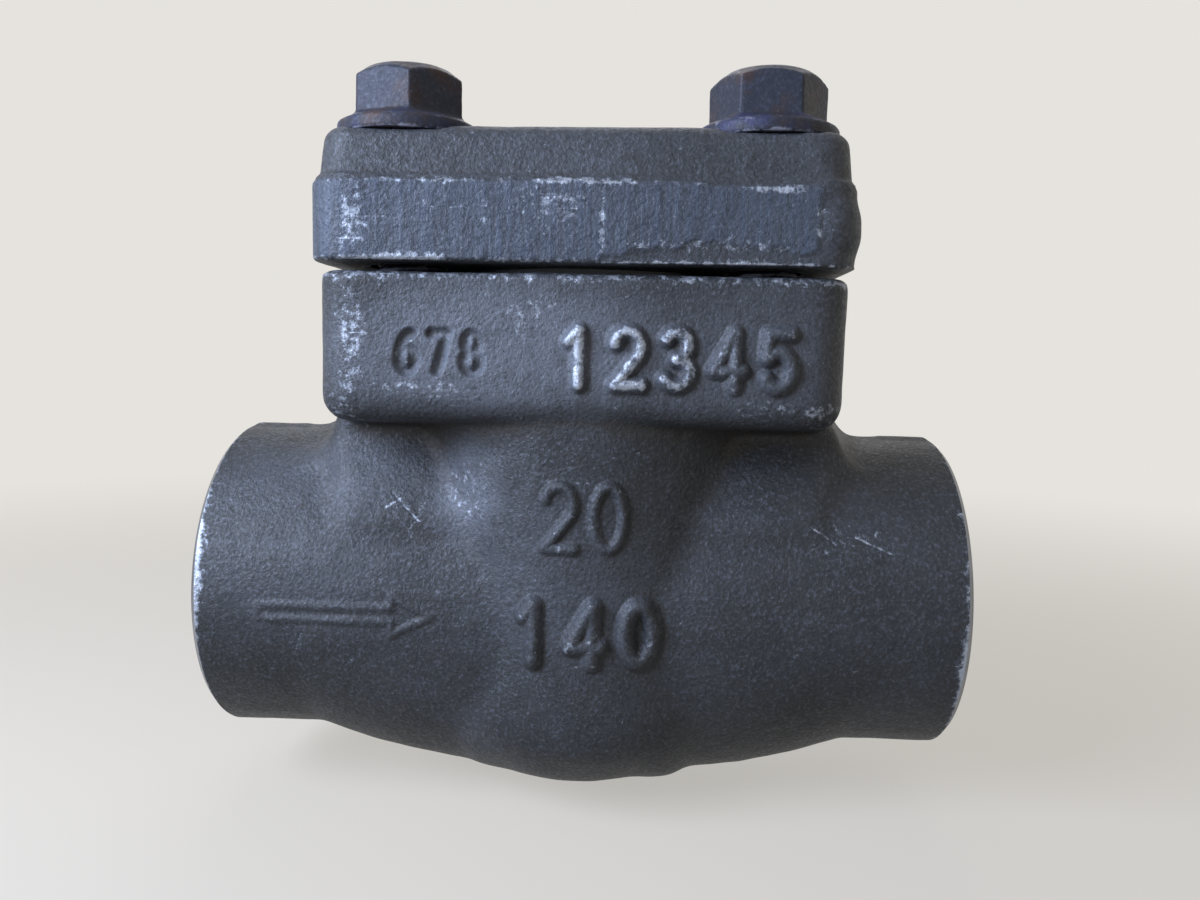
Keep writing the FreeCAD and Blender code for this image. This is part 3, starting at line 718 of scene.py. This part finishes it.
def make_body(forging_skin):
    """The forged body: die-made skin outside, machined faces within."""
    body = merged_copy("body", "forged_body")
    for profile in WEBS:
        join_solid(body, web(profile))
    for filling in body_fillings():
        join_solid(body, filling)
    remesh(body, BODY_VOXEL, 3)
    add_draft(body.data)
    ease_webs(body)
    refine_marks(body.data)
    forge_skin(body.data, BODY_LUMPS)
    points, front = front_of(body.data)
    lift, _ = mark_profile(points, front)
    points[:, 1] -= lift
    set_points(body.data, points)
    skin = skin_of(body)
    for cutter in body_cuts():
        cut(body, cutter)
    mesh = body.data
    points, front = front_of(mesh)
    _, bare = mark_profile(points, front)
    store_relief(mesh, 0.22, 0.2)
    store(mesh, "wear", np.maximum(spot_mask(points, BODY_WEAR) * front, bare))
    # Spots painted paler on the front stand in for highlights where light falls.
    store(mesh, "pale", spot_mask(points, BODY_PAINTED_HIGHLIGHTS) * front)
    mesh.materials.clear()
    mesh.materials.append(forging_skin)
    mesh.materials.append(turned_steel("turned_carbon_steel", "#83868c", 0.36))
    mark_cut_faces(body, skin, 1)
    sharpen(mesh)
    return body


COVER_WEAR = ((42.9, 46.4, 4.8, 3.0, 0.16), (48.3, 44.5, 0.5, 4.4, 0.24), (67.2, 48.2, 4.6, 0.6, 0.22),
              (71.6, 45.0, 0.6, 3.0, 0.2), (60.0, 42.2, 12.5, 0.9, 0.15), (21.0, 44.0, 2.0, 5.0, 0.21),
              (26.5, 40.6, 7.5, 0.8, 0.23), (45.5, 48.9, 9.0, 0.6, 0.22), (29.0, 48.8, 8.0, 0.5, 0.15),
              (60.0, 40.5, 15.0, 0.6, 0.12), (46.0, 44.5, 27.0, 4.5, 0.05))
COVER_LUMPS = ((14.0, 0.12), (5.0, 0.05), (2.0, 0.025))
# How much paler the whole cover is painted, standing in for light
COVER_PAINTED_LIGHT = 0.16
# The sheared band stands proud of the forged side, and its flat panel more.
# It has fine upright ribs and a ragged top: their size, height and shift.
BAND_RIBS = ((0.9, 0.02, 5.5), (2.4, 0.03, 9.5))
BAND_RAGGED = ((2.6, 0.3, 3.1), (9.0, 0.4, 8.4))
SIDE_SETBACK = 0.3
BAND_HEIGHT = 0.16
PANEL_HEIGHT = 0.2
PANEL_LEFT = 48.3
PANEL_RIGHT = 71.7
# Where the shear tore the band, as x and z, and the burr: x, z, half sizes
TORN_EDGE = ((PANEL_LEFT, 58.9, PANEL_RIGHT), (40.9, 42.7, 41.5))
BURR = (75.5, 44.6, 3.4, 2.9)
BURR_HEIGHT = 0.6
# What a tear takes of the band's sheen
TORN_LOSS = 0.85


def band_share(points):
    """One on the sheared band of the cover, with a ragged upper line."""
    ragged = uneven(points * np.array((1, 1, 0)), BAND_RAGGED)
    return soft_edge(BAND_TOP - 0.1 + ragged - points[:, 2], 0.4)


def side_share(mesh):
    """One on the cover's upright sides, and none on its top and bottom."""
    return smooth_step(1.4 - 2 * np.abs(normals_of(mesh)[:, 2]))


def torn_away(points):
    """One at the front right where the shear tore the band below its face."""
    x, y, z = points.T
    flat = points * np.array((1, 0.2, 0.2))
    edge = np.interp(x, *TORN_EDGE) + 0.7 * lumps(flat, 1.9, 2.2)
    under = soft_edge(edge - z, 0.35) * soft_edge(x - PANEL_LEFT, 0.3)
    past = soft_edge(x - PANEL_RIGHT + 0.5 * lumps(points, 1.7, 6.1), 0.35)
    return np.where(y < -12, np.maximum(under, past), 0)


def burr(points):
    """The lump that the shear left on the band's right front corner."""
    x, z, half_x, half_z = BURR
    reach = np.hypot((points[:, 0] - x) / half_x, (points[:, 2] - z) / half_z)
    return np.where(points[:, 1] < -6, smooth_step(OVAL_REACH - reach), 0)


def make_cover(forging_skin):
    """The forged cover with its sheared band and drafted top."""
    cover = merged_copy("cover", "forged_cover")
    for x, y in bolt_places():
        filling = drill(Vector((x, y, COVER_BOTTOM)), ALONG_Z, BOLT_HOLE_R + MARGIN, COVER_TOP - COVER_BOTTOM)
        join_solid(cover, filling)
    remesh(cover, COVER_VOXEL, 3)
    forge_skin(cover.data, COVER_LUMPS)
    mesh = cover.data
    points = points_of(mesh)
    side = side_share(mesh)
    ribs = uneven(points * np.array((1, 1, 0.04)), BAND_RIBS)
    panel = PANEL_HEIGHT * (1 - torn_away(points))
    step = band_share(points) * side * (BAND_HEIGHT + ribs + panel + BURR_HEIGHT * burr(points))
    points += normals_of(mesh) * np.array((1, 1, 0)) * (step - SIDE_SETBACK * side)[:, None]
    set_points(mesh, points)
    skin = skin_of(cover)
    for x, y in bolt_places():
        cut(cover, drill(Vector((x, y, COVER_BOTTOM - 2 * MARGIN)), ALONG_Z, BOLT_HOLE_R, OVERCUT, 64))
        cut(cover, drill(Vector((x, y, COLLAR_SEAT)), ALONG_Z, SPOT_R, SPOT_DEPTH))
    mesh = cover.data
    points = points_of(mesh)
    store_relief(mesh, 0.2, 0.2)
    store(mesh, "wear", spot_mask(points, COVER_WEAR) * (normals_of(mesh)[:, 1] < FRONT_SLOPE))
    # The whole cover is painted a little paler, standing in for light.
    store(mesh, "pale", np.full(len(points), COVER_PAINTED_LIGHT))
    store(mesh, "band", band_share(points) * side_share(mesh) * (1 - TORN_LOSS * torn_away(points)))
    mesh.materials.clear()
    mesh.materials.append(forging_skin)
    mesh.materials.append(turned_steel("spot_faced_steel", "#4e5058", 0.45))
    mark_cut_faces(cover, skin, 1)
    sharpen(mesh)
    return cover


def cut_thread(mesh, x, y):
    """Roll a thread into a bolt's shank, its crests at the shank's size."""
    points = points_of(mesh)
    across = points[:, :2] - (x, y)
    radius = np.linalg.norm(across, axis=1)
    turn = np.arctan2(across[:, 1], across[:, 0]) / math.tau
    phase = (points[:, 2] / THREAD_PITCH - turn) % 1
    groove = 1 - np.abs(2 * phase - 1)
    threaded = (points[:, 2] > THREAD_BOTTOM) & (points[:, 2] < THREAD_TOP)
    shank = threaded & (radius > THREAD_CORE_R)
    depth = np.where(shank, THREAD_DEPTH * smooth_step(groove), 0)
    points[:, :2] -= across / np.maximum(radius, 0.1)[:, None] * depth[:, None]
    set_points(mesh, points)


def dome_head(mesh, x, y):
    """Lower the head's corners, as the heading die leaves it a little domed."""
    points = points_of(mesh)
    radius = np.linalg.norm(points[:, :2] - (x, y), axis=1)
    near_top = smooth_step((points[:, 2] - HEAD_TOP + DOME_DEPTH) / DOME_DEPTH)
    points[:, 2] -= DOME * near_top * (radius / HEAD_R) ** DOME_POWER
    set_points(mesh, points)


BOLT_LUMPS = ((4.0, 0.06), (1.4, 0.03))


def make_bolt(number, material):
    """A flange bolt with eased forged edges and a rolled thread."""
    name = "cover_bolt_%d" % number
    bolt = merged_copy(name, "oiled_bolt_%d" % number)
    remesh(bolt, BOLT_VOXEL, 2)
    forge_skin(bolt.data, BOLT_LUMPS)
    x, y = bolt_places()[number - 1]
    cut_thread(bolt.data, x, y)
    mesh = bolt.data
    dome_head(mesh, x, y)
    store_relief(mesh, 0.14, 0.12)
    store(mesh, "collar", soft_edge(COLLAR_TOP - points_of(mesh)[:, 2], 0.5))
    mesh.materials.clear()
    mesh.materials.append(material)
    mesh.set_sharp_from_angle(angle=BOLT_CRISP_ANGLE)
    return bolt


def forged_steel(name):
    """Hot forged carbon steel, shot blasted and phosphated: a dull slate blue
    skin with pits and light specks painted in as a fine sparkle, painted
    highlights on the body's front and a paler paint over the whole cover,
    brown dust and painted shade in its corners, and flecks of bright bare
    metal where edges, numbers and the sheared band were rubbed."""
    material, tree, shader = new_material(name)
    spot = object_place(tree)
    upright = add_node(tree, "ShaderNodeMapping", {"Vector": spot, "Scale": (1, 1, 0.06)}).outputs[0]
    slanted = add_node(tree, "ShaderNodeMapping", {"Vector": spot, "Rotation": (0.2, 0.7, 0.3),
                                                   "Scale": (0.05, 1, 1)}).outputs[0]
    blotch = noise_pattern(tree, spot, 13, 5.0, 0.6)
    patch = noise_pattern(tree, spot, 2.6, 5.0, 0.65)
    grain = noise_pattern(tree, spot, 0.42, 3.0, 0.6)
    fleck = noise_pattern(tree, spot, 0.95, 4.0, 0.72)
    streak = noise_pattern(tree, upright, 0.7, 3.0, 0.6)
    scratch = noise_pattern(tree, slanted, 0.42, 1.0)
    band = layer_value(tree, "band")
    cloudy = ramp(tree, blotch, 0.36, 0.64)
    earthy = ramp(tree, patch, 0.48, 0.7, most=0.6)
    smeared = reckon(tree, "MULTIPLY", ramp(tree, streak, 0.35, 0.7, least=0.3), band)
    # Light specks on the grain, painted in to stand for glints
    speck_and_glint = ramp(tree, grain, 0.53, 0.72, most=0.7)
    pitted = ramp(tree, grain, 0.46, 0.3, most=0.6)
    # Brown in the hollows: dust, and painted shade where light doesn't reach
    dust_and_shade = reckon(tree, "MULTIPLY", layer_value(tree, "hollow"), 0.55)
    scored = ramp(tree, scratch, 0.71, 0.77, most=0.1)
    rubbed = reckon(tree, "MULTIPLY_ADD", layer_value(tree, "edge"), 0.2, layer_value(tree, "wear"))
    broken = reckon(tree, "ADD", reckon(tree, "ADD", rubbed, scored), fleck)
    bare = ramp(tree, broken, 0.66, 0.84, most=0.85)
    tone = coat(tree, cloudy, colour("#2b2d2f"), "#3a3d41")
    # The paler coat is painted highlight and painted light; the light specks are painted glints on the grain;
    # the brown in the hollows is dust and painted shade.
    coats = ((layer_value(tree, "pale"), "#686d76"), (earthy, "#373738"), (smeared, "#4c5564"),
             (speck_and_glint, "#5a606c"), (pitted, "#20242b"), (dust_and_shade, "#3b3631"), (bare, "#a9b1be"))
    for share, code in coats:
        tone = coat(tree, share, tone, code)
    fine = relief(tree, grain, 0.7, 0.22)
    pits = relief(tree, patch, 0.5, 0.5, Normal=fine)
    shear = relief(tree, reckon(tree, "MULTIPLY", streak, band), 0.35, 0.22, Normal=pits)
    set_inputs(tree, shader, {"Base Color": tone, "Roughness": ramp(tree, grain, 0.3, 0.7, 0.6, 0.4),
                              "Metallic": reckon(tree, "MULTIPLY_ADD", bare, 0.6, 0.1), "Normal": shear,
                              "Specular IOR Level": 0.3})
    return material


def turned_steel(name, code, roughness):
    """Turned or faced steel: fine rings left by the tool, a little oil stain."""
    material, tree, shader = new_material(name)
    spot = object_place(tree)
    stain = noise_pattern(tree, spot, 6, 5.0)
    rings = ring_pattern(tree, spot, 2.4, "X", distortion=0.4)
    dull = ramp(tree, stain, 0.4, 0.75, most=0.5)
    rough = ramp(tree, stain, 0.3, 0.7, roughness - 0.08, roughness + 0.12)
    set_inputs(tree, shader, {"Base Color": coat(tree, dull, colour(code), "#4a4844"), "Roughness": rough,
                              "Metallic": 0.9, "Normal": relief(tree, rings, 0.4, 0.12)})
    return material


def oiled_bolt_steel(name):
    """Quenched bolt steel, oiled black and handled: rust brown breaking
    through the grey, violet temper tints on the collar, bright corners."""
    material, tree, shader = new_material(name)
    spot = object_place(tree)
    blotch = noise_pattern(tree, spot, 4.5, 6.0, 0.65)
    grain = noise_pattern(tree, spot, 0.5, 4.0, 0.7)
    fleck = noise_pattern(tree, spot, 1.8, 5.0, 0.7)
    collar = layer_value(tree, "collar")
    rusty = ramp(tree, blotch, 0.48, 0.66, most=0.8)
    pale = ramp(tree, grain, 0.5, 0.75, most=0.5)
    tinted = reckon(tree, "MULTIPLY", ramp(tree, blotch, 0.5, 0.38, most=0.6), collar)
    # Dark brown in the hollows: dust, and painted shade where light doesn't reach
    dust_and_shade = reckon(tree, "MULTIPLY", layer_value(tree, "hollow"), 0.6)
    rubbed = reckon(tree, "MULTIPLY_ADD", layer_value(tree, "edge"), 0.3, fleck)
    bare = ramp(tree, reckon(tree, "MULTIPLY_ADD", collar, 0.05, rubbed), 0.68, 0.86, most=0.85)
    tone = coat(tree, rusty, colour("#2f333e"), "#45332c")
    for share, code in ((pale, "#565b6a"), (tinted, "#37385c"), (dust_and_shade, "#2e241f"), (bare, "#9597a6")):
        tone = coat(tree, share, tone, code)
    set_inputs(tree, shader, {"Base Color": tone, "Roughness": ramp(tree, grain, 0.3, 0.7, 0.52, 0.36),
                              "Metallic": 0.1, "Normal": relief(tree, grain, 0.5, 0.2),
                              "Specular IOR Level": 0.2})
    return material


def bright_trim(name, code, roughness, grain_size):
    """Stainless trim: cast, turned or lapped, told apart by its grain."""
    material, tree, shader = new_material(name)
    spot = object_place(tree)
    grain = noise_pattern(tree, spot, grain_size, 3.0)
    haze = noise_pattern(tree, spot, 5, 4.0)
    rough = ramp(tree, haze, 0.3, 0.7, roughness - 0.06, roughness + 0.1)
    set_inputs(tree, shader, {"Base Color": coat(tree, haze, colour(code), "#6d6f72"), "Roughness": rough,
                              "Metallic": 1.0, "Normal": relief(tree, grain, 0.3, 0.05)})
    return material


def wound_gasket(name):
    """Graphite wound with thin steel strip: fine rings, black and grey."""
    material, tree, shader = new_material(name)
    centred = add_node(tree, "ShaderNodeMapping", {"Vector": object_place(tree),
                                                   "Location": (-millimetres(MIDDLE), 0, 0)}).outputs[0]
    rings = ring_pattern(tree, centred, 1.9, "Z")
    tone = coat(tree, rings, colour("#1b1c1e"), "#5d6064")
    set_inputs(tree, shader, {"Base Color": tone, "Roughness": 0.55, "Metallic": rings,
                              "Normal": relief(tree, rings, 0.4, 0.08)})
    return material


def finish_node(node, material):
    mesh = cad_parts[node].data
    mesh.materials.clear()
    mesh.materials.append(material)


def dress_trim():
    """The inner pieces keep their own shapes and get their real finishes."""
    lapped = bright_trim("lapped_hard_facing", "#b9bab8", 0.24, 0.3)
    turned = bright_trim("turned_stainless", "#a9abad", 0.32, 0.4)
    cast = bright_trim("investment_cast_stainless", "#8f9193", 0.46, 0.6)
    for node in ("seat_ring", "valve_disc"):
        finish_node(node, lapped)
    for node in ("hinge_pin", "hinge_pin_clip", "disc_washer", "disc_nut", "split_pin", "bracket_screw_1",
                 "bracket_screw_2"):
        finish_node(node, turned)
    for node in ("swing_arm", "hinge_bracket"):
        finish_node(node, cast)
    finish_node("cover_gasket", wound_gasket("graphite_winding"))


def set_piece(piece, node):
    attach(piece, "valve")
    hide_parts(node)


# Where the camera stands and looks, from the photograph's own perspective
CAMERA_PLACE = (52.23, -128.66, 29.33)
CAMERA_TURN = (84.805, -1.177, 2.128)
CAMERA_LENS = 28.5
FLOOR_Z = -26.9
FLOOR_R = 4
BACKDROP = "#e6e3de"
# What the lamps turn to, and each lamp: its place in metres, size, watts, colour
LAMP_TARGET = (MIDDLE, 0, 14)
LAMPS = {"window_lamp": ((-0.12, -0.14, 0.115), 0.16, 1.12, "#d3e0fb"),
         "fill_lamp": ((0.55, -0.45, 0.15), 0.6, 0.22, "#fff0dd"),
         "back_lamp": ((0.0, 0.6, 0.5), 0.6, 1.3, "#f6f8ff")}


def make_camera():
    """The photograph's own camera, close to the valve and a little above it."""
    data = bpy.data.cameras.new("camera")
    data.lens = CAMERA_LENS
    data.sensor_width = 36
    data.clip_start = 0.01
    data.clip_end = 20
    camera = new_piece("camera", data)
    camera.location = place(*CAMERA_PLACE)
    camera.rotation_euler = Euler([math.radians(angle) for angle in CAMERA_TURN])
    bpy.context.scene.camera = camera


def make_floor():
    """A wide pale floor that keeps the shadow and fades into the backdrop."""
    bm = bmesh.new()
    bmesh.ops.create_circle(bm, cap_ends=True, segments=96, radius=FLOOR_R)
    bmesh.ops.translate(bm, verts=bm.verts, vec=place(MIDDLE, 0, FLOOR_Z))
    floor = piece_from(bm, "floor")
    material, tree, shader = new_material("pale_floor")
    away = add_node(tree, "ShaderNodeVectorMath", {0: object_place(tree), 1: place(MIDDLE, 0, FLOOR_Z)},
                    operation="DISTANCE").outputs["Value"]
    fade = add_node(tree, "ShaderNodeMapRange", {"Value": away, "From Min": 0.06, "From Max": 0.4,
                                                 "To Min": 0.6}, interpolation_type="SMOOTHSTEP").outputs[0]
    seen = seen_share(tree)
    shown = reckon(tree, "MULTIPLY", fade, seen)
    glow = add_node(tree, "ShaderNodeEmission", {"Color": colour(BACKDROP)}).outputs[0]
    mixed = add_node(tree, "ShaderNodeMixShader", {0: shown, 1: shader.outputs[0], 2: glow}).outputs[0]
    tree.links.new(mixed, tree.nodes["Material Output"].inputs["Surface"])
    tone = coat(tree, seen, colour("#5e5b56"), "#cdc6ba")
    set_inputs(tree, shader, {"Base Color": tone, "Roughness": 0.9})
    floor.data.materials.append(material)


def seen_share(tree):
    """One for the rays that show the backdrop, straight or in metal."""
    rays = add_node(tree, "ShaderNodeLightPath").outputs
    share = reckon(tree, "MAXIMUM", rays["Is Camera Ray"], rays["Is Glossy Ray"])
    return reckon(tree, "MAXIMUM", share, rays["Is Transmission Ray"])


def make_world():
    """An even surround whose pale colour is seen behind the floor."""
    world = bpy.data.worlds.new("surround")
    bpy.context.scene.world = world
    world.use_nodes = True
    tree = world.node_tree
    tree.nodes.clear()
    light = add_node(tree, "ShaderNodeBackground", {"Color": colour("#f6efe3"), "Strength": 0.2}).outputs[0]
    shown = add_node(tree, "ShaderNodeBackground", {"Color": colour(BACKDROP), "Strength": 1.0}).outputs[0]
    mixed = add_node(tree, "ShaderNodeMixShader", {0: seen_share(tree), 1: light, 2: shown}).outputs[0]
    add_node(tree, "ShaderNodeOutputWorld", {"Surface": mixed})


def make_lamp(name, spot, size, power, code):
    """A round soft lamp that shines on the valve."""
    data = bpy.data.lights.new(name, "AREA")
    data.shape = "DISK"
    data.size = size
    data.energy = power
    data.color = colour(code)[:3]
    lamp = new_piece(name, data)
    lamp.location = spot
    aim = place(*LAMP_TARGET) - lamp.location
    lamp.rotation_euler = aim.to_track_quat("-Z", "Y").to_euler()


bpy.context.scene.view_settings.view_transform = "Standard"
make_camera()
make_world()
make_floor()
for lamp_name, lamp_values in LAMPS.items():
    make_lamp(lamp_name, *lamp_values)

forging = forged_steel("phosphated_forging")
set_piece(make_body(forging), "body")
set_piece(make_cover(forging), "cover")
bolt_steel = oiled_bolt_steel("oiled_bolt_steel")
for bolt_number in range(1, 5):
    set_piece(make_bolt(bolt_number, bolt_steel), "cover_bolt_%d" % bolt_number)
dress_trim()
